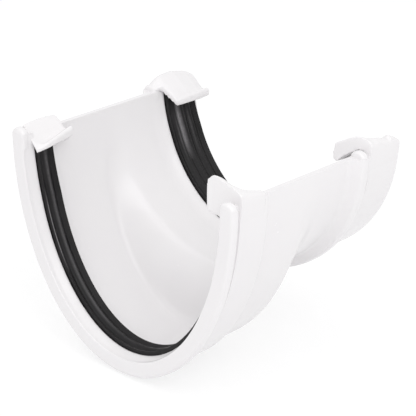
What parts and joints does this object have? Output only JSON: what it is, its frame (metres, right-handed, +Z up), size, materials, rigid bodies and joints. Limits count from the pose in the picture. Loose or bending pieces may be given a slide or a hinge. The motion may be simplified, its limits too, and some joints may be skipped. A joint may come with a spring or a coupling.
{
  "type": "gutter adaptor",
  "caption": "Moulded gutter adaptor that joins a deep semi-elliptical gutter to a shallow half-round gutter, with a ribbed rubber seal and snap-over clips at each socket.",
  "frame": {"origin": "the middle of the deep rim's flat front face, at the bottom of its curve", "axes": "+X across the channel, +Y along the run from the deep end to the half-round end, +Z up, out of the open top"},
  "size_m": [0.1258, 0.1016, 0.0988],
  "materials": {
    "white_upvc": "gloss",
    "black_rubber": "satin"
  },
  "bodies": {
    "root": {"body": "white_upvc", "deep_seal": "black_rubber", "half_round_seal": "black_rubber"}
  },
  "joints": []
}
